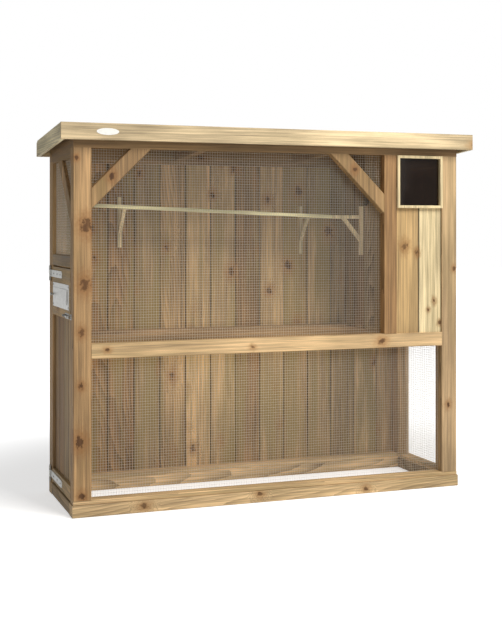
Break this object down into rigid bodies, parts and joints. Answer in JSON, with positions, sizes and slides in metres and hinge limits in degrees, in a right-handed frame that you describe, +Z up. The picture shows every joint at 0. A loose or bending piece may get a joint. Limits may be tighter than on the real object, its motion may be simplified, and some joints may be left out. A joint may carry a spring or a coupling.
{
  "type": "bird aviary",
  "caption": "Free-standing pine bird aviary: wire mesh flight with a perch, boarded night shelter with a window, lean-to roof, side doors and a feeding hatch.",
  "frame": {"origin": "on the ground, under the middle of the whole aviary", "axes": "+Z up, +X along the length to the right as seen from the front, +Y to the back wall"},
  "size_m": [2.132, 0.6614, 1.813],
  "materials": {
    "pine_timber": "sawn treated pine, honey coloured with brown knots",
    "pine_boards": "tongue and groove treated pine boards, brown and olive",
    "pine_fascia": "planed treated pine, pale yellow beige",
    "planed_lath": "planed pale pine lath",
    "welded_mesh": "galvanised welded wire mesh",
    "galvanised_steel": "galvanised steel, dull silver",
    "white_plate": "plain white oval plate",
    "window_glass": "clear pane over a dark shelter",
    "roof_felt": "mineral roofing felt, dark grey"
  },
  "bodies": {
    "aviary_frame": {"back_boards": "pine_boards", "base_beam_back": "pine_timber", "base_beam_front": "pine_timber", "base_beam_left": "pine_timber", "base_beam_right": "pine_timber", "base_sills": "pine_timber", "blank_oval_plate": "white_plate", "bolt_keeper": "galvanised_steel", "brace_front_left": "pine_timber", "brace_front_right": "pine_timber", "brace_side_left": "pine_timber", "fascia_back": "pine_fascia", "fascia_front": "pine_fascia", "fascia_left": "pine_fascia", "fascia_right": "pine_fascia", "header_back": "pine_timber", "header_front": "pine_timber", "header_left": "pine_timber", "header_right": "pine_timber", "hinge_plates": "galvanised_steel", "mid_rail_back": "pine_timber", "mid_rail_front": "pine_timber", "mid_rail_left": "pine_timber", "mid_rail_right": "pine_timber", "net_front_lower": "welded_mesh", "net_front_upper": "welded_mesh", "net_left": "welded_mesh", "net_right": "welded_mesh", "perch_bracket_left": "planed_lath", "perch_bracket_right": "planed_lath", "perch_bracket_shelter": "planed_lath", "perch_long": "planed_lath", "post_back_left": "pine_timber", "post_back_right": "pine_timber", "post_front_left": "pine_timber", "post_front_right": "pine_timber", "rafters": "pine_timber", "roof_deck": "pine_boards", "roof_felt": "roof_felt", "shelter_floor": "pine_boards", "shelter_front_boards": "pine_boards", "shelter_post": "pine_timber", "shelter_wall": "pine_boards", "turn_button_screw": "galvanised_steel", "window_pane": "window_glass", "window_trim": "planed_lath"},
    "left_door": {"door_boards": "pine_boards", "door_top_rail": "pine_timber", "door_bottom_rail": "pine_timber", "door_straps": "galvanised_steel", "hatch_frame": "galvanised_steel", "bolt_body": "galvanised_steel"},
    "hatch_door": {"hatch_flap": "galvanised_steel", "hatch_knob": "galvanised_steel"},
    "bolt": {"bolt_rod": "galvanised_steel"},
    "shelter_door": {"shelter_door_boards": "pine_boards", "shelter_door_rails": "pine_timber", "shelter_door_straps": "galvanised_steel"},
    "button": {"turn_button": "pine_timber"}
  },
  "joints": [
    {"name": "left_door_hinge", "type": "hinge", "parent": "aviary_frame", "child": "left_door", "pos_m": [-1.006, 0.28075, 0.602], "axis": [0, 0, -1], "range_deg": [0, 105]},
    {"name": "hatch_hinge", "type": "hinge", "parent": "left_door", "child": "hatch_door", "pos_m": [-1.0048, -0.13865, 1.005], "axis": [0, 0, 1], "range_deg": [0, 100]},
    {"name": "bolt_slide", "type": "slide", "parent": "left_door", "child": "bolt", "axis": [0, -1, 0], "range_m": [0, 0.026]},
    {"name": "shelter_door_hinge", "type": "hinge", "parent": "aviary_frame", "child": "shelter_door", "pos_m": [1.006, 0.28075, 1.226], "axis": [0, 0, 1], "range_deg": [0, 105]},
    {"name": "button_turn", "type": "hinge", "parent": "aviary_frame", "child": "button", "pos_m": [1.005, -0.22925, 1.607], "axis": [1, 0, 0], "range_deg": [0, 90]}
  ]
}
